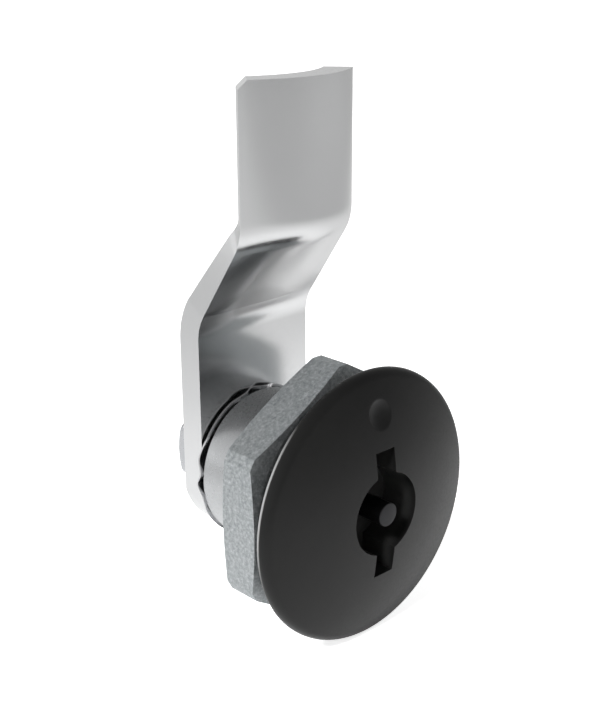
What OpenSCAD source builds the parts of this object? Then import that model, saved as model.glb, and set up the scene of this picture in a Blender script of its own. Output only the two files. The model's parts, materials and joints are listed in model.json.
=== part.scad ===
// Quarter-turn cam latch. The origin is the centre of the panel seat, +Y runs from the head to the cam,
// +Z runs up along the cam.

/* [Head] */
// Diameter of the round head
head_d = 34.8; // [33:0.1:36]
// Height of the head's crown in front of the panel seat
head_h = 5.05; // [5:0.05:7]
// Radius of the crowned face
crown_r = 52; // [50:1:120]
// Radius of the head's front edge
head_front_r = 1.4; // [0.8:0.1:1.6]
// Largest radius of the head's back edge
head_back_r = 0.5; // [0.2:0.05:0.8]
// Space between the head's rim and the door
head_gap = 0.5; // [0.4:0.05:0.9]
// Diameter of the position mark
mark_d = 3.7; // [2:0.1:4]
// Depth of the position mark
mark_depth = 0.5; // [0.2:0.05:0.7]
// Distance of the position mark from the axis
mark_at = 12.5; // [11.5:0.1:13]

/* [Key socket] */
// Diameter of the round part of the socket
socket_d = 10.5; // [9:0.1:11]
// Span of the two wings
wing_span = 16.4; // [15:0.1:16.6]
// Width of a wing
wing_w = 3.2; // [2.5:0.1:4]
// Depth of the socket below the crown
socket_depth = 5.7; // [4:0.1:5.8]
// Diameter of the centre pin
pin_d = 3; // [2.5:0.5:4]
// Diameter of the pin's thinner shank, which is pressed into the rotor
shank_d = 2.4; // [1.8:0.1:2.4]
// Length of the shank
pin_press = 5; // [3:0.5:6]

/* [Rotor] */
// Diameter of the rotor's collar, which holds the socket
collar_d = 17.6; // [17.4:0.1:18]
// How far the collar reaches behind the panel seat
collar_end = 1.25; // [1.1:0.05:2]
// Diameter of the spindle
spindle_d = 12; // [11.5:0.1:13]
// Width across the flats of the square end
square_w = 8; // [7:0.1:8]
// How far the square stays short of the cam's back
square_short = 0.25; // [0.1:0.05:0.6]

/* [Housing] */
// Diameter of the flange under the head
flange_d = 28; // [26:0.5:28.5]
// Thickness of the flange
flange_t = 1.5; // [1.2:0.05:1.7]
// Outer diameter of the thread
thread_d = 22; // [21:0.5:23]
// Width across the two flats on the thread
flats_w = 20; // [20:0.1:20.5]
// Distance from the panel seat to the end of the thread
thread_end = 11.85; // [9:0.05:13]
// Diameter of the plain barrel behind the thread
barrel_d = 20; // [19.6:0.1:20]
// Distance from the panel seat to the back of the barrel
barrel_end = 17.85; // [17:0.05:22]
// Diameter of the pocket for the stop disc
pocket_d = 16; // [15.5:0.1:16.5]
// Depth of that pocket
pocket_depth = 3; // [2.6:0.1:3.5]

/* [Panel] */
// Thickness of the gasket
gasket_t = 0.7; // [0.5:0.05:0.9]
// Space between the panel seat and the nut, for the door
panel_gap = 2.05; // [0.8:0.05:4]
// Width across the flats of the mounting nut
nut_af = 30.4; // [28:0.1:32]
// Diameter across the turned corners of the nut
nut_corner_d = 34.3; // [32.5:0.1:34.5]
// Thickness of the mounting nut
nut_t = 5.8; // [4:0.1:6]
// Angle of the nut's chamfers
nut_chamfer = 15; // [10:1:30]

/* [Cam] */
// Width of the cam
cam_w = 18.4; // [16:0.2:19]
// Thickness of the cam
cam_t = 3.6; // [3:0.1:4]
// Thickness along Y of the sloping part
cam_slope_t = 3.8; // [3.4:0.1:4.2]
// Radius of the cam's lower end
cam_end_r = 9.6; // [9.6:0.1:10.5]
// Height of the cam's top above the axis
cam_top = 50.9; // [45:0.1:60]
// How far the tip is cranked towards the door
cam_crank = 11.5; // [10:0.1:12]
// Height at which the lower flat and the slope would meet
bend_z = 20.2; // [19.5:0.1:22]
// Radius of the lower bend, on the side of the door
bend_r = 6.4; // [3:0.1:7]
// Angle between the slope and the flats
slope_a = 34.5; // [33:0.5:40]
// Height at which the tip has its full curve
tip_z = 34.9; // [34.9:0.1:38]
// Height at which the slope starts to curve
curl_z = 26.3; // [24.6:0.1:28]
// Outer radius of the curved tip
tip_r = 15.1; // [14:0.1:20]
// Size of the chamfer on one top corner
corner_chamfer = 1.1; // [0.5:0.1:3]

/* [Wave washer] */
// Space between the barrel and the cam, which the wave washer fills
wave_h = 0.9; // [0.7:0.05:1.2]
// Thickness of the spring steel
wave_t = 0.25; // [0.2:0.05:0.4]
// Outer diameter of the wave washer
wave_outer_d = 20.5; // [19:0.1:20.6]
// Inner diameter of the wave washer
wave_inner_d = 14.2; // [13.6:0.1:15]

/* [Stop] */
// Quarter turn between the two stops
turn_a = 90; // [60:5:120]
// Angle that the stop disc's lug takes up
lug_a = 60; // [40:5:80]
// Diameter of the stop disc's hub
hub_d = 12.8; // [12:0.1:13]
// Thickness of the lug
lug_t = 2.6; // [1.5:0.1:2.6]

/* [Cam fastening] */
// Outer diameter of the flat washer
washer_d = 14; // [12:0.5:14]
// Thickness of the flat washer
washer_t = 1; // [0.8:0.1:1.6]
// Outer diameter of the spring lock washer
lock_d = 11; // [10:0.1:12]
// Thickness of the spring lock washer
lock_t = 1.2; // [1:0.1:1.6]
// Thread diameter of the cam screw
screw_d = 6; // [5:0.5:6]
// Length of the screw under its head
screw_l = 14; // [10:0.5:15]
// Width across the flats of the screw's head
screw_af = 11; // [10:0.5:13]
// Height of the screw's head
screw_head_h = 4; // [3:0.1:5]

/* [Seal] */
// Thickness of the O-ring's cord
ring_t = 1.46; // [1.2:0.02:1.6]
// Distance of the O-ring from the panel seat
ring_at = 7.5; // [7:0.1:8]

/* [Hidden] */
$fn = 96;

// Clearances between faces that turn on each other and between the rotor and the housing
face_gap = 0.05;
turn_gap = 0.05;
// Clearance of pieces that slip over others, and of the thread in the nut and the rotor
slip_gap = 0.1;
thread_gap = 0.03;
// Play of the lug at each stop, in degrees
stop_play = 0.3;
// Clearance of the O-ring, of the wave washer on the barrel and of the flange inside the head's rim
ring_gap = 0.02;
wave_gap = 0.02;
rim_gap = 0.3;
// How far a cut runs past a face, and how far two solids of one piece run into each other
over = 1;
join = 0.2;

// Details of the turned and threaded pieces
groove_ratio = 1.5;
hole_extra = 0.5;
block_short = 0.2;
face_inset = 0.4;
corner_cut = 0.3;
screw_chamfer = 30;
slit_w = 0.6;
slit_a = 30;

// Places along Y, counted from the panel seat
flange_front = -(gasket_t + flange_t);
head_floor = flange_front - face_gap;
spindle_end = barrel_end - pocket_depth + 2 * turn_gap;
cam_front = barrel_end + wave_h;
cam_back = cam_front + cam_t;
square_end = cam_back - square_short;
washer_back = cam_back + washer_t;
head_seat = washer_back + lock_t;
socket_floor = socket_depth - head_h;

// Shape of the cam's tip and slope
tip_front = cam_front - cam_crank;
tip_a = asin(cam_w / 2 / tip_r);
tip_edge = tip_front + tip_r * (1 - cos(tip_a));
edge_z = bend_z + (cam_front - tip_edge) / tan(slope_a);
bend_start = bend_z - bend_r * tan(slope_a / 2);
bend_end = bend_start + bend_r * sin(slope_a);
side_steps = 16;
bend_steps = 6;
curl_steps = 4;
curl_power = 1.2;

// Form of the wave washer over a quarter from the first valley, as [angle, share of the lift]
wave_start = 108;
wave_form = [[0, 0], [8, 0.4], [37, 0.4], [55, 1], [66, 0], [75.5, 1], [85, 0], [90, 0]];
wave_steps = 180;

function arc(cx, cy, r, a0, a1, n) =
    [for (i = [0:n]) let (a = a0 + (a1 - a0) * i / n) [cx + r * cos(a), cy + r * sin(a)]];

// Turns a profile of [radius, distance along Y] about the latch's axis
module turned() {
    rotate([-90, 0, 0]) rotate_extrude() children();
}

// A cylinder along Y from y0 to y1
module rod(d, y0, y1) {
    translate([0, y0, 0]) rotate([-90, 0, 0]) cylinder(d = d, h = y1 - y0);
}

// A square bar along Y
module bar(w, y0, y1) {
    translate([-w / 2, y0, -w / 2]) cube([w, y1 - y0, w]);
}

// A ring along Y
module ring(od, id, y0, y1) {
    difference() {
        rod(od, y0, y1);
        rod(id, y0 - over, y1 + over);
    }
}

// A sector of a ring about Y, centred on angle a, which is measured from +X towards +Z
module sector(od, id, y0, y1, a, width) {
    translate([0, y1, 0]) rotate([90, 0, 0]) rotate([0, 0, a - width / 2])
        rotate_extrude(angle = width)
            translate([id / 2, 0]) square([(od - id) / 2, y1 - y0]);
}

// A prism along Y with its point on the axis, which opens by width about angle a
module wedge(r, y0, y1, a, width) {
    translate([0, y1, 0]) rotate([90, 0, 0]) linear_extrude(y1 - y0)
        polygon(concat([[0, 0]], arc(0, 0, r, a - width / 2, a + width / 2, 2)));
}

// A hexagonal prism along Y with its flats facing +X and -X, cut back by cones at the chosen ends
module hexagon(af, corner_d, y0, y1, chamfer, front, back) {
    face_r = af / 2 - face_inset;
    drop = (corner_d / 2 - face_r) * tan(chamfer);
    intersection() {
        translate([0, y1, 0]) rotate([90, 0, 0]) rotate([0, 0, 30])
            cylinder(d = af / cos(30), h = y1 - y0, $fn = 6);
        turned() polygon(concat(
            front ? [[0, y0], [face_r, y0], [corner_d / 2, y0 + drop]] : [[0, y0], [corner_d / 2, y0]],
            back ? [[corner_d / 2, y1 - drop], [face_r, y1], [0, y1]] : [[corner_d / 2, y1], [0, y1]]));
    }
}

// Outline of the head and the rotor's stem, from the crown round to the end of the round spindle
function head_outline() =
    let (crown_y = crown_r - head_h,
         edge_r = head_d / 2 - head_front_r,
         edge_a = asin(edge_r / (crown_r - head_front_r)),
         edge_y = crown_y - (crown_r - head_front_r) * cos(edge_a),
         back_r = min(head_back_r, -head_gap - edge_y),
         pocket_r = flange_d / 2 + rim_gap)
    concat(
        arc(0, crown_y, crown_r, -90, -90 + edge_a, 10),
        arc(edge_r, edge_y, head_front_r, -90 + edge_a, 0, 10),
        arc(head_d / 2 - back_r, -head_gap - back_r, back_r, 0, 90, 8),
        [[pocket_r, -head_gap], [pocket_r, head_floor],
         [collar_d / 2, head_floor], [collar_d / 2, collar_end],
         [spindle_d / 2, collar_end], [spindle_d / 2, spindle_end], [0, spindle_end]]);

module socket_cut() {
    rod(socket_d, -head_h - over, socket_floor);
    translate([-wing_w / 2, -head_h - over, -wing_span / 2])
        cube([wing_w, head_h + over + socket_floor, wing_span]);
}

module mark_cut() {
    // The dimple is part of a ball that is sunk in the crowned face
    ball_r = (mark_d * mark_d / 4 + mark_depth * mark_depth) / (2 * mark_depth);
    face_y = crown_r - head_h - sqrt(crown_r * crown_r - mark_at * mark_at);
    translate([0, face_y + mark_depth - ball_r, mark_at]) sphere(r = ball_r);
}

module rotor() {
    groove_r = spindle_d / 2 + turn_gap - ring_gap - ring_t - ring_gap;
    groove_w = ring_t * groove_ratio;
    color([0.13, 0.13, 0.13]) difference() {
        union() {
            turned() polygon(head_outline());
            bar(square_w, spindle_end - over, square_end);
        }
        socket_cut();
        mark_cut();
        rod(shank_d, socket_floor - over, socket_floor + pin_press);
        ring(spindle_d + over, 2 * groove_r, ring_at - groove_w / 2, ring_at + groove_w / 2);
        rod(screw_d + 2 * thread_gap, head_seat - screw_l - hole_extra, square_end + over);
    }
}

module key_pin() {
    color([0.24, 0.24, 0.24]) union() {
        rod(pin_d, -head_h, socket_floor);
        rod(shank_d, socket_floor - join, socket_floor + pin_press);
    }
}

module spindle_o_ring() {
    color([0.08, 0.08, 0.08]) turned()
        translate([spindle_d / 2 + turn_gap - ring_gap - ring_t / 2, ring_at]) circle(d = ring_t);
}

module housing() {
    color([0.62, 0.63, 0.64]) {
        difference() {
            union() {
                rod(flange_d, flange_front, -gasket_t);
                intersection() {
                    rod(thread_d, -gasket_t - join, thread_end);
                    translate([-flats_w / 2, -over, -thread_d])
                        cube([flats_w, thread_end + over, 2 * thread_d]);
                }
                rod(barrel_d, thread_end - over, barrel_end);
            }
            rod(collar_d + 2 * turn_gap, flange_front - over, collar_end + turn_gap);
            rod(spindle_d + 2 * turn_gap, 0, barrel_end + over);
            rod(pocket_d, barrel_end - pocket_depth, barrel_end + over);
        }
        stop_block();
    }
}

// The block that leaves the stop disc's lug its quarter turn, which starts with the lug at the top
module stop_block() {
    free_a = turn_a + lug_a + 2 * stop_play;
    free_mid = 90 - turn_a / 2;
    sector(pocket_d + 2 * join, hub_d + 4 * slip_gap,
           barrel_end - pocket_depth - join, barrel_end - block_short, free_mid + 180, 360 - free_a);
}

module panel_gasket() {
    color([0.1, 0.1, 0.1]) ring(flange_d, thread_d + 2 * slip_gap, -gasket_t, 0);
}

module mounting_nut() {
    color([0.6, 0.62, 0.63]) difference() {
        hexagon(nut_af, nut_corner_d, panel_gap, panel_gap + nut_t, nut_chamfer, true, true);
        rod(thread_d + 2 * thread_gap, panel_gap - over, panel_gap + nut_t + over);
    }
}

module stop_disc() {
    color([0.7, 0.7, 0.71]) difference() {
        union() {
            rod(hub_d, spindle_end, cam_front);
            intersection() {
                rod(pocket_d - 2 * slip_gap, spindle_end, spindle_end + lug_t);
                wedge(pocket_d, spindle_end - over, spindle_end + lug_t + over, 90, lug_a);
            }
        }
        bar(square_w + slip_gap, spindle_end - over, cam_front + over);
    }
}

// Share of the lift at angle q within a quarter, eased from one point of the form to the next
function wave_share(q) =
    [for (i = [0:len(wave_form) - 2]) let (p = wave_form[i], n = wave_form[i + 1])
        if (q >= p[0] && q <= n[0])
            p[1] + (n[1] - p[1]) * (1 - cos(180 * (q - p[0]) / (n[0] - p[0]))) / 2][0];

// Place of the wave washer's front face at angle a
function wave_y(a) =
    let (turn = a - wave_start, q = turn - 90 * floor(turn / 90))
    barrel_end + wave_gap + (wave_h - wave_t - wave_gap) * wave_share(q);

module wave_washer() {
    n = wave_steps;
    pts = [for (i = [0:n - 1]) let (a = i * 360 / n, y = wave_y(a))
        each [for (p = [[wave_inner_d, 0], [wave_outer_d, 0], [wave_outer_d, wave_t], [wave_inner_d, wave_t]])
            [p[0] / 2 * cos(a), y + p[1], p[0] / 2 * sin(a)]]];
    faces = [for (i = [0:n - 1], k = [0:3]) let (j = (i + 1) % n, m = (k + 1) % 4)
        [4 * i + k, 4 * i + m, 4 * j + m, 4 * j + k]];
    color([0.75, 0.75, 0.76]) polyhedron(pts, faces);
}

// The cam's upper part is a loft of level sections. Each has the place of its front edges along Y,
// its height, half the angle of its curve and its thickness.
function edge_y(z) = max(cam_front - (z - bend_z) * tan(slope_a), tip_edge);
function curl(z) = tip_a * pow(max(z - curl_z, 0) / (tip_z - curl_z), curl_power);
function slope_thick(z) = cam_slope_t + (cam_t - cam_slope_t) * max(z - curl_z, 0) / (tip_z - curl_z);

cam_sections = concat(
    [for (i = [0:curl_steps]) let (z = curl_z + (edge_z - curl_z) * i / curl_steps)
        [edge_y(z), z, curl(z), slope_thick(z)]],
    [for (i = [1:curl_steps]) let (z = edge_z + (tip_z - edge_z) * i / curl_steps)
        [tip_edge, z, curl(z), slope_thick(z)]],
    [[tip_edge, cam_top, tip_a, cam_t]]);

// A point of section s, at u from -1 to 1 across it, on its front if thick is 0 and on its back if it is 1
function section_point(s, u, thick) =
    s[2] == 0 ? [u * cam_w / 2, s[0] + thick * s[3], s[1]]
    : let (a = s[2], r = cam_w / 2 / sin(a), q = r - thick * s[3])
        [q * sin(a * u), s[0] + r * cos(a) - q * cos(a * u), s[1]];

module cam_loft() {
    m = side_steps;
    w = 2 * (m + 1);
    top = (len(cam_sections) - 1) * w;
    pts = [for (s = cam_sections) each concat(
        [for (i = [0:m]) section_point(s, 2 * i / m - 1, 0)],
        [for (i = [m:-1:0]) section_point(s, 2 * i / m - 1, 1)])];
    bottom_faces = [for (i = [0:m - 1]) [i, i + 1, w - 2 - i, w - 1 - i]];
    side_faces = [for (j = [0:w:top - w], i = [0:w - 1]) let (k = (i + 1) % w) [j + i, j + w + i, j + w + k, j + k]];
    top_faces = [for (f = bottom_faces) [top + f[3], top + f[2], top + f[1], top + f[0]]];
    polyhedron(pts, concat(bottom_faces, side_faces, top_faces));
}

// Side view of the flat lower part, the bend and the start of the slope, as [height, place along Y]
cam_profile = concat(
    [[-cam_end_r, cam_back], [-cam_end_r, cam_front]],
    [for (i = [0:bend_steps]) let (a = slope_a * i / bend_steps)
        [bend_start + bend_r * sin(a), cam_front - bend_r * (1 - cos(a))]],
    [[curl_z, edge_y(curl_z)], [curl_z, edge_y(curl_z) + cam_slope_t]],
    [for (i = [bend_steps:-1:0]) let (a = slope_a * i / bend_steps)
        [bend_start + bend_r * sin(a),
         cam_front - bend_r * (1 - cos(a)) + cam_t + (cam_slope_t - cam_t) * i / bend_steps]]);

// The lower part is that side view across the cam's width, and its end is an arc about the axis
module cam_lower() {
    intersection() {
        translate([-cam_w / 2, 0, 0]) rotate([0, -90, 180]) mirror([0, 1, 0])
            linear_extrude(cam_w) polygon(cam_profile);
        union() {
            rod(2 * cam_end_r, cam_front - over, cam_back + over);
            translate([-cam_w, tip_front, 0]) cube([2 * cam_w, cam_back - tip_front + over, cam_top]);
        }
    }
}

module cam() {
    color([0.78, 0.79, 0.8]) difference() {
        union() {
            cam_lower();
            cam_loft();
        }
        bar(square_w + slip_gap, cam_front - over, cam_back + over);
        // The corner's cut runs square through the curved plate
        translate([-cam_w / 2, tip_edge, cam_top]) rotate([0, 0, -tip_a]) rotate([0, 45, 0])
            cube([corner_chamfer * sqrt(2), 4 * cam_t, corner_chamfer * sqrt(2)], center = true);
    }
}

module cam_washer() {
    color([0.72, 0.72, 0.73]) ring(washer_d, screw_d + 4 * slip_gap, cam_back, washer_back);
}

// The lock washer is a ring with one slanted cut
module lock_washer() {
    color([0.66, 0.66, 0.67]) difference() {
        ring(lock_d, screw_d + 2 * slip_gap, washer_back, head_seat);
        translate([0, (washer_back + head_seat) / 2, (lock_d + screw_d) / 4]) rotate([0, 0, slit_a])
            cube([slit_w, 4 * lock_t, lock_d / 2], center = true);
    }
}

module cam_screw() {
    color([0.74, 0.75, 0.76]) union() {
        hexagon(screw_af, screw_af / cos(30) - corner_cut, head_seat, head_seat + screw_head_h,
                screw_chamfer, false, true);
        rod(screw_d, head_seat - screw_l, head_seat + over);
    }
}

rotor();
key_pin();
spindle_o_ring();
housing();
panel_gasket();
mounting_nut();
stop_disc();
wave_washer();
cam();
cam_washer();
lock_washer();
cam_screw();
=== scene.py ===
import json
import math

import bmesh
import bpy
from mathutils import Matrix, Vector


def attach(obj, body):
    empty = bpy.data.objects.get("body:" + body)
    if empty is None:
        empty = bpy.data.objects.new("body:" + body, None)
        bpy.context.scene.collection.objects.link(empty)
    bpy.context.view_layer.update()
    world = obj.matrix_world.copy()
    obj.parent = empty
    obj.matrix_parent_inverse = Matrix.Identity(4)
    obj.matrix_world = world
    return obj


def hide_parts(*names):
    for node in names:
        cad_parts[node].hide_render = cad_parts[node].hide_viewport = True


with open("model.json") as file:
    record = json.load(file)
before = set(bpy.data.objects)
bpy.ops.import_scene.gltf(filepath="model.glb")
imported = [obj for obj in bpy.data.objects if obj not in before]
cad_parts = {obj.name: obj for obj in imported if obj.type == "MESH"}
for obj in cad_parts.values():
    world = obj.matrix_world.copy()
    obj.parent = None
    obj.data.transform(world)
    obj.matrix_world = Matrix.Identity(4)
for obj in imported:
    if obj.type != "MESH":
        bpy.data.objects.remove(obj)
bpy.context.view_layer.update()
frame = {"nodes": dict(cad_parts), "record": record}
scene = bpy.context.scene

# Lengths below are in millimetres, in the frame of the CAD, and MM turns them into Blender's metres. Two
# solids of one piece reach into each other by OVERLAP.
MM = 0.001
TAU = 2 * math.pi
OVERLAP = 0.2

# Head
HEAD_R = 17.4
HEAD_H = 5.05
CROWN_R = 52.0
FRONT_R = 1.4
BACK_R = 0.5
RIM_GAP_Y = -0.5
RIM_IN_R = 14.3
FLOOR_Y = -2.25
COLLAR_R = 8.8
COLLAR_END = 1.25
SPINDLE_R = 6.0
SPINDLE_END = 14.95
SQUARE_W = 8.0
SQUARE_END = 22.1
SOCKET_R = 5.25
WING_HALF = 1.6
WING_REACH = 8.2
SOCKET_FLOOR = 0.65
MARK_AT = 12.5
MARK_R = 1.85
MARK_DEPTH = 0.5
PIN_R = 1.5
PIN_ROUND_R = 0.12
PIN_SHANK = (1.2, 5.65)

# Painted light on the head: the key socket's coat painted lighter, as painted light inside the recess, and a
# light band on the back edge of the rim at both sides, as a painted highlight. Each pair is a place where it
# begins and one where it is full, or the other way round
SOCKET_PAINTED_LIGHT_R = (8.8, 8.4)
SOCKET_PAINTED_LIGHT_Y = (-4.3, -3.0)
# Where the painted highlight lies on the back edge of the rim, at the left and right sides.
RIM_HIGHLIGHT_R = (16.8, 17.1)
RIM_HIGHLIGHT_Y = (-1.15, -0.95)
RIM_HIGHLIGHT_LOW = (-6.0, 3.0)
RIM_HIGHLIGHT_HIGH = (13.5, 9.0)

# Housing
FLANGE_R = 14.0
FLANGE_FRONT = -2.2
GASKET_T = 0.7
THREAD_R = 11.0
THREAD_PITCH = 1.5
THREAD_DEPTH = 0.9
FLAT_X = 10.0
THREAD_END = 11.85
BARREL_R = 10.0
BARREL_END = 17.85
BORE_R = 6.05
COUNTERBORE_R = 8.85
COUNTERBORE_END = 1.3
POCKET_R = 8.0
POCKET_DEPTH = 3.0
STOP_R = 6.6
STOP_FREE_MID = 45
STOP_FREE_HALF = 75.3
STOP_SHORT = 0.2
STEP_IN = 0.001

# Nut and screw
NUT_HALF = 15.2
NUT_CORNER_R = 17.15
NUT_Y = (2.05, 7.85)
NUT_BORE_R = 11.03
NUT_CHAMFER = math.radians(15)
SCREW_HALF = 5.5
SCREW_CORNER_R = SCREW_HALF / math.cos(math.radians(30)) - 0.15
SCREW_CENTRE_R = 0.4
SCREW_HEAD = (24.55, 28.55)
SCREW_CHAMFER = math.radians(30)
SCREW_R = 3.0
SCREW_TIP = 10.55
SCREW_POINT = 0.5
FACE_INSET = 0.4

# Cam
CAM_HALF = 9.2
CAM_FRONT = 18.75
CAM_T = 3.6
CAM_SLOPE_T = 3.3
CAM_END_R = 9.6
CAM_TOP = 50.9
CAM_CRANK = 11.5
BEND_Z = 20.2
BEND_R = 6.4
SLOPE_A = math.radians(34.5)
TIP_Z = 34.9
CURL_Z = 21.5
ROLL_R = 6.4
TIP_R = 15.1
TIP_A = math.asin(CAM_HALF / TIP_R)
TIP_EDGE_Y = CAM_FRONT - CAM_CRANK + TIP_R * (1 - math.cos(TIP_A))
CORNER = 1.1
HOLE_GAP = 0.1

# Washers
WAVE_R = 10.25
WAVE_IN_R = 7.1
WAVE_T = 0.25
WAVE_GAP = 0.02
WAVE_FORM = ((0, 0), (8, 0.4), (37, 0.4), (55, 1), (66, 0), (75.5, 1), (85, 0), (90, 0))
WAVE_START = 108
WASHER_R = 7.0
WASHER_Y = (22.35, 23.35)
WASHER_GAP = 0.2
WASHER_EDGE = 0.12
LOCK_R = 5.5
LOCK_Y = (23.35, 24.55)
LOCK_GAP = 0.1
LOCK_SLIT = 0.6
LOCK_SLANT = math.radians(30)


def arc(cx, cy, r, a0, a1, n):
    """Points of an arc, from angle a0 to a1 in degrees, as (x, y)."""
    steps = [math.radians(a0 + (a1 - a0) * i / n) for i in range(n + 1)]
    return [(cx + r * math.cos(a), cy + r * math.sin(a)) for a in steps]


def smoothstep(t):
    t = max(0.0, min(1.0, t))
    return t * t * (3 - 2 * t)


def make_piece(name, verts, faces, body, slot, sharp=30):
    """A mesh piece from points in millimetres, in its slot's material. Edges sharper than the angle in
    degrees are shaded as edges."""
    mesh = bpy.data.meshes.new(name)
    mesh.from_pydata([(x * MM, y * MM, z * MM) for x, y, z in verts], [], faces)
    mesh.validate()
    mesh.update()
    for p in mesh.polygons:
        p.use_smooth = True
    mesh.set_sharp_from_angle(angle=math.radians(sharp))
    mesh.materials.append(MATERIALS[slot])
    piece = bpy.data.objects.new(name, mesh)
    scene.collection.objects.link(piece)
    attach(piece, body)
    return piece


def round_edges(piece, width, segments=2, angle=35):
    """Small rounded edges, with the flat faces kept flat in the shading."""
    bevel = piece.modifiers.new("edges", "BEVEL")
    bevel.width = width * MM
    bevel.segments = segments
    bevel.limit_method = "ANGLE"
    bevel.angle_limit = math.radians(angle)
    bevel.harden_normals = True
    return piece


def grid_faces(rows, columns, closed_rows=False, closed_columns=False):
    """Quads between rows of points that are stored row after row."""
    faces = []
    for i in range(rows if closed_rows else rows - 1):
        for j in range(columns if closed_columns else columns - 1):
            a, b = (i + 1) % rows, (j + 1) % columns
            faces.append((i * columns + j, i * columns + b, a * columns + b, a * columns + j))
    return faces


def end_faces(rows, columns):
    """The faces through the first points and through the last points of all rows."""
    return [[i * columns for i in range(rows)],
            [i * columns + columns - 1 for i in range(rows - 1, -1, -1)]]


def bar_faces(n):
    """The faces of a bar through n + 1 four-cornered sections, closed at both ends."""
    return grid_faces(n + 1, 4, False, True) + [(0, 1, 2, 3), tuple(n * 4 + i for i in (3, 2, 1, 0))]


def turned(profile, n):
    """The points of a profile of (radius, y) in n turns about the axis."""
    verts = []
    for i in range(n):
        c, s = math.cos(TAU * i / n), math.sin(TAU * i / n)
        verts += [(r * c, y, r * s) for r, y in profile]
    return verts


def revolve(profile, n):
    """A closed ring from a closed profile of (radius, y)."""
    return turned(profile, n), grid_faces(n, len(profile), True, True)


def spin_open(profile, n):
    """A turned solid from an open profile of (radius, y), closed by flat faces at its ends."""
    return turned(profile, n), grid_faces(n, len(profile), True) + end_faces(n, len(profile))


def joined(*parts):
    """Several (verts, faces) lists as one."""
    verts, faces = [], []
    for v, f in parts:
        start = len(verts)
        verts += v
        faces += [[start + i for i in face] for face in f]
    return verts, faces


def outward(verts, faces):
    """The same solid with every face turned outwards."""
    volume = 0.0
    for face in faces:
        a = Vector(verts[face[0]])
        for i in range(1, len(face) - 1):
            volume += a.dot(Vector(verts[face[i]]).cross(Vector(verts[face[i + 1]])))
    return (verts, faces) if volume > 0 else (verts, [list(reversed(f)) for f in faces])


# Materials


class Nodes:
    """A node tree, with short calls to add and join nodes."""

    def __init__(self, tree):
        self.tree = tree

    def add(self, kind, **values):
        node = self.tree.nodes.new(kind)
        for key, value in values.items():
            setattr(node, key, value)
        return node

    def join(self, a, b):
        self.tree.links.new(a, b)

    def noise(self, scale, detail=4, roughness=0.6, stretch=(1, 1, 1)):
        """Noise of so many grains a metre, drawn out along an axis where stretch is small."""
        mapping = self.add("ShaderNodeMapping")
        mapping.inputs["Scale"].default_value = stretch
        self.join(self.place, mapping.inputs["Vector"])
        node = self.add("ShaderNodeTexNoise")
        node.inputs["Scale"].default_value = scale
        node.inputs["Detail"].default_value = detail
        node.inputs["Roughness"].default_value = roughness
        self.join(mapping.outputs["Vector"], node.inputs["Vector"])
        return node.outputs["Fac"]

    def ramp(self, value, stops):
        """A colour ramp with stops of (place, colour)."""
        node = self.add("ShaderNodeValToRGB")
        ramp = node.color_ramp
        while len(ramp.elements) < len(stops):
            ramp.elements.new(0.5)
        for element, (place, colour) in zip(ramp.elements, stops):
            element.position = place
            element.color = (*colour, 1) if len(colour) == 3 else (colour[0],) * 3 + (1,)
        self.join(value, node.inputs["Fac"])
        return node.outputs["Color"]

    def span(self, value, low, high, start=0.35, end=0.65):
        """The value, taken from start..end to low..high."""
        node = self.add("ShaderNodeMapRange")
        for key, v in (("From Min", start), ("From Max", end), ("To Min", low), ("To Max", high)):
            node.inputs[key].default_value = v
        self.join(value, node.inputs["Value"])
        return node.outputs["Result"]

    def mix(self, factor, a, b):
        node = self.add("ShaderNodeMix", data_type="RGBA")
        self.join(factor, node.inputs["Factor"])
        for socket, value in ((node.inputs[6], a), (node.inputs[7], b)):
            if isinstance(value, tuple):
                socket.default_value = (*value, 1)
            else:
                self.join(value, socket)
        return node.outputs[2]

    def times(self, a, b):
        node = self.add("ShaderNodeMath", operation="MULTIPLY")
        self.join(a, node.inputs[0])
        self.join(b, node.inputs[1])
        return node.outputs["Value"]

    def blend(self, factor, a, b):
        """From a to b, where each is a number or comes from a node."""
        node = self.add("ShaderNodeMix", data_type="FLOAT")
        self.join(factor, node.inputs[0])
        for socket, value in ((node.inputs[2], a), (node.inputs[3], b)):
            if isinstance(value, float):
                socket.default_value = value
            else:
                self.join(value, socket)
        return node.outputs[0]

    def bump(self, *layers):
        """Bump from layers of (height, depth in millimetres), each on top of the one before."""
        normal = None
        for height, depth in layers:
            node = self.add("ShaderNodeBump")
            node.inputs["Strength"].default_value = 1
            node.inputs["Distance"].default_value = depth * MM
            self.join(height, node.inputs["Height"])
            if normal:
                self.join(normal, node.inputs["Normal"])
            normal = node.outputs["Normal"]
        self.join(normal, self.shader.inputs["Normal"])

    def edge_wear(self, reach=0.12):
        """1 along outer edges and 0 on flat faces, from how far the bevelled normal turns away."""
        bevel = self.add("ShaderNodeBevel", samples=4)
        bevel.inputs["Radius"].default_value = reach * MM
        true = self.add("ShaderNodeNewGeometry")
        dot = self.add("ShaderNodeVectorMath", operation="DOT_PRODUCT")
        self.join(bevel.outputs["Normal"], dot.inputs[0])
        self.join(true.outputs["Normal"], dot.inputs[1])
        return self.span(dot.outputs["Value"], 1, 0, 0.8, 1.0)


def new_material(name):
    """The nodes of a new material, with its shader and the place on the object in metres."""
    material = bpy.data.materials.new(name)
    material.use_nodes = True
    n = Nodes(material.node_tree)
    n.material = material
    n.shader = n.tree.nodes["Principled BSDF"]
    n.place = n.add("ShaderNodeTexCoord").outputs["Object"]
    return n


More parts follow.
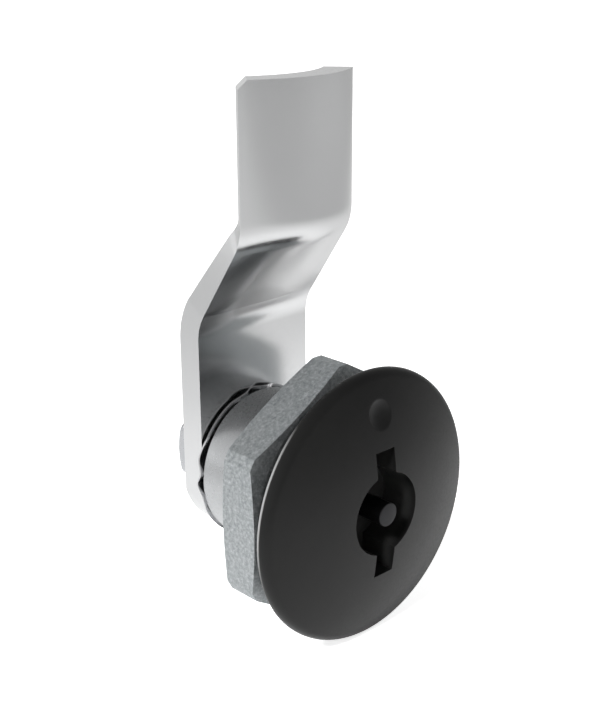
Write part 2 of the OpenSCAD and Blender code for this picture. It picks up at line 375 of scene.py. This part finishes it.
def head_painted_light(n):
    """Two masks of painted light: the key socket, painted lighter to stand in for light inside the recess,
    and the back edge of the rim at both sides, painted as a highlight."""
    flat = n.add("ShaderNodeVectorMath", operation="MULTIPLY")
    flat.inputs[1].default_value = (1, 0, 1)
    n.join(n.place, flat.inputs[0])
    away = n.add("ShaderNodeVectorMath", operation="LENGTH")
    n.join(flat.outputs["Vector"], away.inputs[0])
    place = n.add("ShaderNodeSeparateXYZ")
    n.join(n.place, place.inputs[0])
    r, y, z = away.outputs["Value"], place.outputs["Y"], place.outputs["Z"]

    def grows(value, places):
        return n.span(value, 0, 1, places[0] * MM, places[1] * MM)

    # Painted light: the key socket's coat is painted lighter, in place of light inside the recess.
    socket = n.times(grows(r, SOCKET_PAINTED_LIGHT_R), grows(y, SOCKET_PAINTED_LIGHT_Y))
    # A painted highlight: a light band on the back edge of the rim, at both sides only.
    rim = n.times(grows(r, RIM_HIGHLIGHT_R), grows(y, RIM_HIGHLIGHT_Y))
    sides = n.times(grows(z, RIM_HIGHLIGHT_LOW), grows(z, RIM_HIGHLIGHT_HIGH))
    return socket, n.times(rim, sides)


def black_coat():
    """Satin black coat: nearly smooth, with a faint orange peel and a slight unevenness of gloss."""
    n = new_material("satin black coat")
    cloud = n.noise(90, 3, 0.5)
    fine = n.noise(2600, 3, 0.6)
    base = n.mix(n.span(cloud, 0, 1), (0.006, 0.006, 0.006), (0.008, 0.008, 0.0078))
    worn = n.mix(n.edge_wear(0.1), base, (0.03, 0.03, 0.03))
    socket, rim = head_painted_light(n)
    # The key socket's coat is painted lighter, as painted light inside the recess.
    coat = n.mix(socket, worn, (0.026, 0.026, 0.0255))
    # The rim's back edge is painted light grey and partly metallic, as a painted highlight.
    n.join(n.mix(rim, coat, (0.55, 0.55, 0.55)), n.shader.inputs["Base Color"])
    n.join(n.times(rim, n.span(cloud, 0.8, 0.95)), n.shader.inputs["Metallic"])
    n.join(n.span(fine, 0.31, 0.37), n.shader.inputs["Roughness"])
    n.shader.inputs["Specular IOR Level"].default_value = 0.27
    n.bump((n.noise(700, 2, 0.5), 0.006), (fine, 0.0015))
    return n.material


def metal(name, colour, rough, spread=0.05, shade=0.06, grain=0.0012, cloud=60, stretch=(1, 1, 1)):
    """A satin metal whose tone and gloss drift a little, with a fine grain."""
    n = new_material(name)
    drift = n.noise(cloud, 3, 0.5, stretch)
    fine = n.noise(3000, 3, 0.6, stretch)
    dark = tuple(c * (1 - shade) for c in colour)
    light = tuple(min(1.0, c * (1 + shade)) for c in colour)
    base = n.mix(n.span(drift, 0, 1), dark, light)
    worn = n.edge_wear()
    bright = tuple(min(1.0, c * 1.25) for c in colour)
    n.join(n.mix(worn, base, bright), n.shader.inputs["Base Color"])
    n.join(n.span(fine, rough - spread / 2, rough + spread / 2), n.shader.inputs["Roughness"])
    n.shader.inputs["Metallic"].default_value = 1
    n.bump((drift, 0.004), (fine, grain))
    return n.material


def grainy_zinc():
    """The nut's skin: a blasted, bluish grey zinc with speckles of a quarter of a millimetre."""
    n = new_material("grainy zinc")
    speckle = n.noise(2100, 5, 0.75)
    cloud = n.noise(300, 3, 0.6)
    stops = ((0.32, (0.22, 0.24, 0.25)), (0.5, (0.4, 0.425, 0.435)), (0.68, (0.66, 0.685, 0.695)))
    tone = n.ramp(speckle, stops)
    n.join(n.mix(n.span(cloud, 0.0, 0.3), tone, (0.48, 0.5, 0.51)), n.shader.inputs["Base Color"])
    n.join(n.span(speckle, 0.42, 0.56), n.shader.inputs["Roughness"])
    n.shader.inputs["Metallic"].default_value = 0.85
    n.bump((speckle, 0.03), (n.noise(5200, 3, 0.6), 0.008))
    return n.material


def rubber():
    """Black rubber with a dusty, slightly uneven skin."""
    n = new_material("black rubber")
    dust = n.noise(500, 4, 0.6)
    tone = n.mix(n.span(dust, 0, 1), (0.012, 0.012, 0.012), (0.024, 0.024, 0.023))
    n.join(tone, n.shader.inputs["Base Color"])
    n.join(n.span(dust, 0.6, 0.75), n.shader.inputs["Roughness"])
    n.bump((n.noise(1800, 3, 0.6), 0.01))
    return n.material


MATERIALS = {
    "black_coat": black_coat(),
    "dark_steel": metal("blackened pin steel", (0.034, 0.034, 0.036), 0.42, grain=0.002),
    "seal_rubber": rubber(),
    "housing_metal": metal("satin plated zinc", (0.54, 0.55, 0.56), 0.3, spread=0.08, cloud=140),
    "nut_metal": grainy_zinc(),
    "stop_steel": metal("stop disc steel", (0.6, 0.61, 0.62), 0.32),
    "spring_steel": metal("spring steel", (0.68, 0.68, 0.69), 0.24),
    "cam_steel": metal("satin zinc plate", (0.74, 0.745, 0.75), 0.2, spread=0.06, shade=0.03, cloud=45),
    "fastener_steel": metal("bright zinc plate", (0.6, 0.61, 0.63), 0.26),
}


# Head and stem of the rotor


def crown_y(r):
    return CROWN_R - HEAD_H - math.sqrt(CROWN_R * CROWN_R - r * r)


def socket_edge(a):
    """Distance of the socket's outline from the axis at angle a, in radians from +X towards +Z."""
    c, s = abs(math.cos(a)), abs(math.sin(a))
    wing = min(WING_HALF / max(c, 1e-9), WING_REACH / max(s, 1e-9))
    return max(SOCKET_R, wing)


def head_angles():
    """Angles of the head's spokes: even ones, finer ones beside the mark, and the socket's corners."""
    angles = {round(a * 2.0, 4) for a in range(180)}
    angles |= {round(78 + a * 0.5, 4) for a in range(49)}
    corner = math.degrees(math.atan2(WING_REACH, WING_HALF))
    foot = math.degrees(math.acos(WING_HALF / SOCKET_R))
    for a in (corner, foot):
        angles -= {b for b in angles if min(abs(b - x) for x in (a, 180 - a, 180 + a, 360 - a)) < 0.3}
        angles |= {round(x, 4) for x in (a, 180 - a, 180 + a, 360 - a)}
    return [math.radians(a) for a in sorted(angles)]


def mark_dip(x, z):
    """How far the position mark sinks the crowned face at (x, z)."""
    d = math.hypot(x, z - MARK_AT) / MARK_R
    return MARK_DEPTH * (1 - d * d) * smoothstep((1.12 - d) / 0.24) if d < 1.12 else 0.0


def build_head():
    edge_r = HEAD_R - FRONT_R
    edge_a = math.asin(edge_r / (CROWN_R - FRONT_R))
    edge_y = CROWN_R - HEAD_H - (CROWN_R - FRONT_R) * math.cos(edge_a)
    start_r = CROWN_R * math.sin(edge_a)
    rings = 56
    rim = arc(edge_r, edge_y, FRONT_R, -90 + math.degrees(edge_a), 0, 12)[1:]
    rim += arc(HEAD_R - BACK_R, RIM_GAP_Y - BACK_R, BACK_R, 0, 90, 10)
    rim += [(RIM_IN_R, RIM_GAP_Y), (RIM_IN_R, FLOOR_Y), (COLLAR_R, FLOOR_Y), (COLLAR_R, COLLAR_END),
            (SPINDLE_R, COLLAR_END), (SPINDLE_R, SPINDLE_END)]
    verts = []
    angles = head_angles()
    for a in angles:
        c, s = math.cos(a), math.sin(a)
        lip = socket_edge(a)
        verts.append((lip * c, SOCKET_FLOOR, lip * s))
        for i in range(rings + 1):
            r = lip + (start_r - lip) * i / rings
            x, z = r * c, r * s
            verts.append((x, crown_y(r) + max(0.0, mark_dip(x, z)), z))
        verts += [(r * c, y, r * s) for r, y in rim]
    n, m = len(angles), 2 + rings + len(rim)
    faces = grid_faces(n, m, True) + end_faces(n, m)
    h = SQUARE_W / 2
    y0, y1 = SPINDLE_END - 0.5, SQUARE_END
    square = ([(x, y, z) for y in (y0, y1) for x, z in ((-h, -h), (h, -h), (h, h), (-h, h))],
              [(0, 1, 2, 3), (7, 6, 5, 4), (0, 4, 5, 1), (1, 5, 6, 2), (2, 6, 7, 3), (3, 7, 4, 0)])
    verts, faces = joined(outward(verts, faces), outward(*square))
    head = make_piece("rotor_head", verts, faces, "rotor", "black_coat", 28)
    round_edges(head, 0.09, 2, 50)
    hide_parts("rotor")


def build_pin():
    profile = arc(PIN_R - PIN_ROUND_R, PIN_ROUND_R - HEAD_H, PIN_ROUND_R, -90, 0, 4)
    profile += [(PIN_R, SOCKET_FLOOR), (PIN_SHANK[0], SOCKET_FLOOR), PIN_SHANK]
    pin = make_piece("key_pin_steel", *outward(*spin_open(profile, 64)), "rotor", "dark_steel", 40)
    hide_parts("key_pin")


# Housing with its thread


def thread_r(a, y):
    """Radius of the threaded part at angle a and place y: rounded turns, cut by two flats."""
    turn = (y / THREAD_PITCH - a / TAU) % 1.0
    rise = abs(turn - 0.5) * 2
    form = smoothstep((rise - 0.1) / 0.8)
    runout = smoothstep((THREAD_END - y) / 0.7)
    r = THREAD_R - THREAD_DEPTH * form * runout
    return min(r, FLAT_X / max(abs(math.cos(a)), 1e-9))


def build_housing():
    chamfer = 0.25
    outside = [(FLANGE_R, FLANGE_FRONT), (FLANGE_R, -GASKET_T)]
    pocket_y = BARREL_END - POCKET_DEPTH
    inside = [(POCKET_R, BARREL_END), (POCKET_R, pocket_y), (BORE_R, pocket_y),
              (BORE_R, COUNTERBORE_END), (COUNTERBORE_R, COUNTERBORE_END), (COUNTERBORE_R, FLANGE_FRONT)]
    rear = [(BARREL_R, THREAD_END + STEP_IN), (BARREL_R, BARREL_END - chamfer),
            (BARREL_R - chamfer, BARREL_END)]
    step = 0.1
    rows = int(round((THREAD_END + GASKET_T) / step))
    angles = set(range(0, 360, 2))
    for side in (0, 180):
        angles |= {(side + s * (6 + 0.5 * i)) % 360 for s in (1, -1) for i in range(44)}
    angles = [math.radians(a) for a in sorted(angles)]
    verts = []
    for a in angles:
        c, s = math.cos(a), math.sin(a)
        line = list(outside)
        for i in range(rows + 1):
            y = -GASKET_T + (THREAD_END + GASKET_T) * i / rows
            line.append((thread_r(a, y), y))
        line += rear + inside
        verts += [(r * c, y, r * s) for r, y in line]
    m = len(outside) + rows + 1 + len(rear) + len(inside)
    tube = outward(verts, grid_faces(len(angles), m, True, True))
    housing = make_piece("housing_barrel", *joined(tube, stop_block()), "housing", "housing_metal", 32)
    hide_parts("housing")


def stop_block():
    """The block in the barrel's rear pocket that stops the lug."""
    a0, a1 = STOP_FREE_MID + STOP_FREE_HALF, STOP_FREE_MID + 360 - STOP_FREE_HALF
    r0, r1 = STOP_R, POCKET_R + OVERLAP
    y0, y1 = BARREL_END - POCKET_DEPTH - OVERLAP, BARREL_END - STOP_SHORT
    n = 40
    verts = []
    for i in range(n + 1):
        a = math.radians(a0 + (a1 - a0) * i / n)
        verts += [(r * math.cos(a), y, r * math.sin(a)) for r, y in ((r0, y0), (r1, y0), (r1, y1), (r0, y1))]
    return outward(verts, bar_faces(n))


# Hexagon pieces


def hexagon(half, corner_r, y0, y1, chamfer, inner_r, is_nut):
    """A hexagon about the axis with flats facing +X and -X. A nut is open along the axis and has a chamfer at
    both ends. A screw's head is closed and has it at y1 only."""
    corner = math.degrees(math.acos(half / corner_r))
    angles = []
    for k in range(0, 360, 60):
        angles += [k - 30, k - corner, k + corner] + [k + b for b in range(-27, 28, 3)]
    angles = sorted({round(a % 360, 5) for a in angles})
    face_r = half - FACE_INSET
    verts = []
    for deg in angles:
        a = math.radians(deg)
        off = math.radians((deg + 30) % 60 - 30)
        r = min(half / math.cos(off), corner_r)
        drop = max(0.0, (r - face_r) * math.tan(chamfer))
        front = [(inner_r, y0), (face_r, y0), (r, y0 + drop)] if is_nut else [(inner_r, y0), (r, y0)]
        line = front + [(r, y1 - drop), (face_r, y1), (inner_r, y1)]
        verts += [(q * math.cos(a), y, q * math.sin(a)) for q, y in line]
    n, m = len(angles), len(line)
    if is_nut:
        return outward(verts, grid_faces(n, m, True, True))
    return outward(verts, grid_faces(n, m, True) + end_faces(n, m))


def build_nut():
    solid = hexagon(NUT_HALF, NUT_CORNER_R, *NUT_Y, NUT_CHAMFER, NUT_BORE_R, True)
    nut = make_piece("nut_zinc", *solid, "housing", "nut_metal", 9)
    round_edges(nut, 0.06, 2, 12)
    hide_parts("mounting_nut")


def build_screw():
    head = hexagon(SCREW_HALF, SCREW_CORNER_R, *SCREW_HEAD, SCREW_CHAMFER, SCREW_CENTRE_R, False)
    shank = outward(*spin_open([(SCREW_R - SCREW_POINT, SCREW_TIP), (SCREW_R, SCREW_TIP + SCREW_POINT),
                                (SCREW_R, SCREW_HEAD[0] + OVERLAP)], 48))
    screw = make_piece("cam_screw_hex", *joined(head, shank), "rotor", "fastener_steel", 14)
    round_edges(screw, 0.1, 2, 25)
    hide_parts("cam_screw")


# Washers


def build_cam_washer():
    r0, r1, (y0, y1), b = SCREW_R + WASHER_GAP, WASHER_R, WASHER_Y, WASHER_EDGE
    profile = [(r0, y0), (r1 - b, y0), (r1, y0 + b), (r1, y1 - b), (r1 - b, y1), (r0, y1)]
    washer = make_piece("cam_washer_ring", *outward(*revolve(profile, 96)), "rotor", "fastener_steel")
    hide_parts("cam_washer")


def build_lock_washer():
    """A ring with one slanted cut at the top."""
    r0, r1, (y0, y1), n = SCREW_R + LOCK_GAP, LOCK_R, LOCK_Y, 90
    mid_y, mid_r = (y0 + y1) / 2, (r0 + r1) / 2
    verts = []
    for i in range(n + 1):
        for r, y in ((r0, y0), (r1, y0), (r1, y1), (r0, y1)):
            ease = math.cos(math.pi * min(i, n - i, 4) / 8)
            shift = (y - mid_y) * math.tan(LOCK_SLANT) / mid_r * ease
            a = math.radians(90) + LOCK_SLIT / 2 / mid_r + (TAU - LOCK_SLIT / mid_r) * i / n + shift
            verts.append((r * math.cos(a), y, r * math.sin(a)))
    washer = make_piece("lock_washer_ring", *outward(verts, bar_faces(n)), "rotor", "spring_steel")
    round_edges(washer, 0.1, 2, 40)
    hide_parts("lock_washer")


def wave_share(a):
    """Share of the lift at angle a in degrees."""
    q = (a - WAVE_START) % 90
    for (q0, h0), (q1, h1) in zip(WAVE_FORM, WAVE_FORM[1:]):
        if q <= q1:
            return h0 + (h1 - h0) * smoothstep((q - q0) / (q1 - q0))
    return 0.0


def build_wave_washer():
    """A thin ring whose waves run straight out from the axis."""
    n, m = 360, 10
    lift = CAM_FRONT - BARREL_END - WAVE_T - WAVE_GAP
    verts = []
    for i in range(n):
        a = TAU * i / n
        y = BARREL_END + WAVE_GAP + lift * wave_share(math.degrees(a))
        line = [(WAVE_IN_R + (WAVE_R - WAVE_IN_R) * j / m, y) for j in range(m + 1)]
        line += [(r, y + WAVE_T) for r, y in reversed(line)]
        verts += [(r * math.cos(a), y, r * math.sin(a)) for r, y in line]
    solid = outward(verts, grid_faces(n, 2 * (m + 1), True, True))
    washer = make_piece("wave_washer_ring", *solid, "rotor", "spring_steel", 35)
    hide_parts("wave_washer")


# Cam


def cam_rows():
    """Sections of the cam: (front edges' place along Y, height, half angle of the curve, tilt)."""
    edge_z = BEND_Z + (CAM_FRONT - TIP_EDGE_Y) / math.tan(SLOPE_A)
    bend_start = BEND_Z - BEND_R * math.tan(SLOPE_A / 2)
    bend_end = bend_start + BEND_R * math.sin(SLOPE_A)
    roll_end = edge_z + ROLL_R * math.tan(SLOPE_A / 2)
    roll_start = roll_end - ROLL_R * math.sin(SLOPE_A)
    bulge = CAM_HALF * math.tan(TIP_A / 2) / ((TIP_Z + roll_start) / 2 - CURL_Z)

    def curl(z):
        """Half angle of the curve, which grows up the slope and eases out over the upper bend."""
        late = max(z - roll_start, 0.0)
        grown = min(z, roll_start) - CURL_Z + late - late ** 2 / (TIP_Z - roll_start) / 2
        return 2 * math.atan(bulge * grown / CAM_HALF)

    def edge_y(z):
        rise = roll_end - z
        if rise >= ROLL_R * math.sin(SLOPE_A):
            return CAM_FRONT - (z - BEND_Z) * math.tan(SLOPE_A)
        return TIP_EDGE_Y + ROLL_R - math.sqrt(ROLL_R ** 2 - max(rise, 0.0) ** 2)

    def tilt(z):
        return min(SLOPE_A, math.asin(max(0.0, min(1.0, (roll_end - z) / ROLL_R))))

    rows = []
    for i in range(13):
        a = SLOPE_A * i / 12
        rows.append((CAM_FRONT - BEND_R * (1 - math.cos(a)), bend_start + BEND_R * math.sin(a), 0.0, a))
    for i in range(1, 49):
        z = bend_end + (TIP_Z - bend_end) * i / 48
        rows.append((edge_y(z), z, curl(z), tilt(z)))
    rows += [(TIP_EDGE_Y, TIP_Z + (CAM_TOP - TIP_Z) * i / 16, TIP_A, 0.0) for i in range(1, 17)]
    return rows


def cam_point(row, u, back):
    """A point of a section at u from -1 to 1 across it, on its front or its back."""
    y, z, a, tilt = row
    thick = CAM_T + (CAM_SLOPE_T - CAM_T) * tilt / SLOPE_A if back else 0.0
    deep, z = thick * math.cos(tilt), z + thick * math.sin(tilt)
    if a < 1e-6:
        return (u * CAM_HALF, y + deep, z)
    r = CAM_HALF / math.sin(a)
    q = r - deep
    return (q * math.sin(a * u), y + r * math.cos(a) - q * math.cos(a * u), z)


def build_cam():
    rows, m = cam_rows(), 36
    end_z = -math.sqrt(CAM_END_R ** 2 - CAM_HALF ** 2)
    foot = [(x, z) for x, z in arc(0, 0, CAM_END_R, math.degrees(math.atan2(end_z, CAM_HALF)),
                                   math.degrees(math.atan2(end_z, -CAM_HALF)), 48)]
    verts, faces = [], []
    for back in (False, True):
        for row in rows:
            verts += [cam_point(row, 2 * j / m - 1, back) for j in range(m + 1)]
    count = len(rows) * (m + 1)
    front = grid_faces(len(rows), m + 1)
    rear = [[count + i for i in reversed(face)] for face in front]
    left = [(i * (m + 1), (i + 1) * (m + 1), count + (i + 1) * (m + 1), count + i * (m + 1))
            for i in range(len(rows) - 1)]
    right = [tuple(reversed([k + m for k in face])) for face in left]
    last = (len(rows) - 1) * (m + 1)
    top = [(last + j, last + j + 1, count + last + j + 1, count + last + j) for j in range(m)]
    low = len(verts)
    k = len(foot)
    verts += [(x, CAM_FRONT, z) for x, z in foot] + [(x, CAM_FRONT + CAM_T, z) for x, z in foot]
    plate_front = list(range(m, -1, -1)) + [low + k - 1 - i for i in range(k)]
    plate_back = [count + j for j in range(m + 1)] + [low + k + i for i in range(k)]
    ends = [(0, count, low + 2 * k - 1, low + k - 1), (m, low, low + k, count + m)]
    edge = [(low + i, low + i + 1, low + k + i + 1, low + k + i) for i in range(k - 1)]
    faces = front + rear + left + right + top + [plate_front, plate_back] + ends + edge
    cam = make_piece("cam_steel_plate", verts, faces, "rotor", "cam_steel")
    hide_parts("cam")
    finish_cam(cam)


def finish_cam(cam):
    """Turns the faces outwards, cuts the top corner and the square hole, and rounds the edges."""
    bm = bmesh.new()
    bm.from_mesh(cam.data)
    bmesh.ops.recalc_face_normals(bm, faces=bm.faces)
    bm.to_mesh(cam.data)
    bm.free()
    side = CORNER * math.sqrt(2)
    at = (-CAM_HALF, TIP_EDGE_Y, CAM_TOP)
    corner = block("corner_cut", (side, 4 * CAM_T, side), at, math.radians(45), -TIP_A)
    hole_w = SQUARE_W + HOLE_GAP
    hole = block("square_cut", (hole_w, 4 * CAM_T, hole_w), (0, CAM_FRONT + CAM_T / 2, 0), 0, 0)
    for cutter in (corner, hole):
        cut = cam.modifiers.new(cutter.name, "BOOLEAN")
        cut.object = cutter
        cut.operation = "DIFFERENCE"
        cut.solver = "EXACT"
    bpy.context.view_layer.update()
    made = bpy.data.meshes.new_from_object(cam.evaluated_get(bpy.context.evaluated_depsgraph_get()))
    cam.modifiers.clear()
    cam.data = made
    for cutter in (corner, hole):
        bpy.data.objects.remove(cutter)
    for p in made.polygons:
        p.use_smooth = True
    made.set_sharp_from_angle(angle=math.radians(30))
    round_edges(cam, 0.15, 3, 40)


def block(name, size, centre, turn_y, turn_z):
    """A box turned about Y and then about Z, used to cut."""
    mesh = bpy.data.meshes.new(name)
    corners = [(x, y, z) for x in (-0.5, 0.5) for y in (-0.5, 0.5) for z in (-0.5, 0.5)]
    mesh.from_pydata([tuple(c * s * MM for c, s in zip(p, size)) for p in corners], [],
                     [(0, 1, 3, 2), (4, 6, 7, 5), (0, 4, 5, 1), (2, 3, 7, 6), (0, 2, 6, 4), (1, 5, 7, 3)])
    box = bpy.data.objects.new(name, mesh)
    scene.collection.objects.link(box)
    turn = Matrix.Rotation(turn_z, 4, "Z") @ Matrix.Rotation(turn_y, 4, "Y")
    box.matrix_world = Matrix.Translation([c * MM for c in centre]) @ turn
    return box


# The pieces that keep their CAD shape


def dress_cad_nodes():
    slots = {s["node"]: s["material_slot"] for s in frame["record"]["subparts"]}
    for name, node in frame["nodes"].items():
        node.data.materials.clear()
        node.data.materials.append(MATERIALS[slots[name]])


# Camera, floor and light

CAMERA_AT = (-101.79, -96.69, 67.89)
CAMERA_YAW = math.radians(43.6)
CAMERA_PITCH = math.radians(19.4)
CAMERA_ROLL = math.radians(-0.31)
CAMERA_LENS = 62.95


def build_camera():
    yaw, pitch, roll = CAMERA_YAW, CAMERA_PITCH, CAMERA_ROLL
    ahead = Vector((math.sin(yaw) * math.cos(pitch), math.cos(yaw) * math.cos(pitch), -math.sin(pitch)))
    right = Vector((math.cos(yaw), -math.sin(yaw), 0))
    up = right.cross(ahead)
    x = right * math.cos(roll) + up * math.sin(roll)
    y = up * math.cos(roll) - right * math.sin(roll)
    data = bpy.data.cameras.new("camera")
    data.lens = CAMERA_LENS
    data.sensor_width = 36
    data.clip_start = 0.005
    camera = bpy.data.objects.new("camera", data)
    scene.collection.objects.link(camera)
    turn = Matrix((x, y, -ahead)).transposed().to_4x4()
    camera.matrix_world = Matrix.Translation([c * MM for c in CAMERA_AT]) @ turn
    scene.camera = camera


# The studio is brightest low down and behind the part, and darkest in front of it to the right. The floor's
# colour is a painted pool of light for the metal to reflect: its tones lie at shares of FLOOR_REACH, in
# metres from the middle, and it is painted darker further over FLOOR_PAINTED_DIM_FROM.
DIM_WAY = (0.69, -0.72, 0.0)
FLOOR_SIZE = 4.0
FLOOR_PAINTED_LIGHT = ((0.2, (0.93,)), (0.34, (0.72,)), (0.5, (0.66,)), (0.72, (0.6,)))
FLOOR_REACH = 0.25
FLOOR_PAINTED_DIM = 0.7
FLOOR_PAINTED_DIM_FROM = (0.075, 0.16)
FLOOR_GLOW = 0.75
AMBIENT = 0.24
BEHIND, BESIDE, BEFORE = 1.0, 0.7, 0.3
BACK_SPAN = (-0.9, -0.2)
FRONT_SPAN = (-0.1, 0.7)
OVERHEAD = 0.35
SKY_SPAN = (0.1, 0.95)
KEY_WAY = (1.04, 0.2, -1.0)
KEY_ANGLE = math.radians(12)
KEY_ENERGY = 4.1
FILL_AT = (0.45, -0.3, 0.3)
FILL_SIZE = 0.5
FILL_POWER = 0.8


def light_path(n):
    """Whether a ray sees the background itself, and whether it sees it in a glossy surface."""
    path = n.add("ShaderNodeLightPath")
    seen = n.add("ShaderNodeMath", operation="MAXIMUM")
    n.join(path.outputs["Is Camera Ray"], seen.inputs[0])
    n.join(path.outputs["Is Transmission Ray"], seen.inputs[1])
    return seen.outputs["Value"], path.outputs["Is Glossy Ray"]


def along(n, place):
    """How far a place or direction lies on the dim side."""
    way = n.add("ShaderNodeVectorMath", operation="DOT_PRODUCT")
    n.join(place, way.inputs[0])
    way.inputs[1].default_value = DIM_WAY
    return way.outputs["Value"]


def build_floor():
    """A pale floor that is white to the camera and keeps the part's shadow. Its colour is a painted pool of
    light, lighter near the part and darker far off and in front.
    """
    size = FLOOR_SIZE
    mesh = bpy.data.meshes.new("floor")
    z = -(HEAD_R + 0.05) * MM
    corners = [(-size, -size, z), (size, -size, z), (size, size, z), (-size, size, z)]
    mesh.from_pydata(corners, [], [(0, 1, 2, 3)])
    floor = bpy.data.objects.new("floor", mesh)
    scene.collection.objects.link(floor)
    n = new_material("floor")
    away = n.add("ShaderNodeVectorMath", operation="LENGTH")
    n.join(n.place, away.inputs[0])
    # Painted pool of light: the floor's colour is lighter near the part and darker far off and in front.
    tone = n.ramp(n.span(away.outputs["Value"], 0, 1, 0, FLOOR_REACH), FLOOR_PAINTED_LIGHT)
    dim = n.span(along(n, n.place), 1, FLOOR_PAINTED_DIM, *FLOOR_PAINTED_DIM_FROM)
    n.join(n.times(tone, dim), n.shader.inputs["Base Color"])
    n.shader.inputs["Roughness"].default_value = 0.9
    n.shader.inputs["Specular IOR Level"].default_value = 0.1
    seen = light_path(n)[0]
    glow = n.add("ShaderNodeEmission")
    n.join(n.span(seen, 0, FLOOR_GLOW, 0, 1), glow.inputs["Strength"])
    lit = n.add("ShaderNodeAddShader")
    n.join(n.shader.outputs["BSDF"], lit.inputs[0])
    n.join(glow.outputs["Emission"], lit.inputs[1])
    n.join(lit.outputs["Shader"], n.tree.nodes["Material Output"].inputs["Surface"])
    floor.data.materials.append(n.material)


def build_world():
    """White behind the part. Glossy surfaces see it white near the horizon behind the part, and greyer
    above and in front."""
    world = bpy.data.worlds.new("studio")
    scene.world = world
    world.use_nodes = True
    n = Nodes(world.node_tree)
    seen, glossy = light_path(n)
    place = n.add("ShaderNodeTexCoord").outputs["Generated"]
    way = along(n, place)
    back = n.span(way, BEHIND, BESIDE, *BACK_SPAN)
    front = n.span(way, 1, BEFORE / BESIDE, *FRONT_SPAN)
    height = n.add("ShaderNodeSeparateXYZ")
    n.join(place, height.inputs[0])
    above = n.span(height.outputs["Z"], 1, OVERHEAD, *SKY_SPAN)
    sky = n.times(n.times(back, front), above)
    dull = n.blend(glossy, AMBIENT, sky)
    level = n.blend(seen, dull, 1.0)
    shader = n.tree.nodes["Background"]
    shader.inputs["Color"].default_value = (1, 1, 1, 1)
    n.join(level, shader.inputs["Strength"])


def build_lamps():
    """A key light high on the left, far off, and a weak wide lamp from the right."""
    sun = bpy.data.lights.new("key", "SUN")
    sun.angle = KEY_ANGLE
    sun.energy = KEY_ENERGY
    key = bpy.data.objects.new("key", sun)
    key.visible_glossy = False
    key.rotation_euler = Vector(KEY_WAY).to_track_quat("-Z", "Y").to_euler()
    scene.collection.objects.link(key)
    area = bpy.data.lights.new("fill", "AREA")
    area.size = FILL_SIZE
    area.energy = FILL_POWER
    fill = bpy.data.objects.new("fill", area)
    fill.visible_glossy = False
    place = Vector(FILL_AT)
    fill.matrix_world = Matrix.Translation(place) @ (-place).to_track_quat("-Z", "Y").to_matrix().to_4x4()
    scene.collection.objects.link(fill)


scene.view_settings.view_transform = "Standard"
build_camera()
build_floor()
build_world()
build_lamps()
dress_cad_nodes()
build_head()
build_pin()
build_housing()
build_nut()
build_screw()
build_cam_washer()
build_lock_washer()
build_wave_washer()
build_cam()
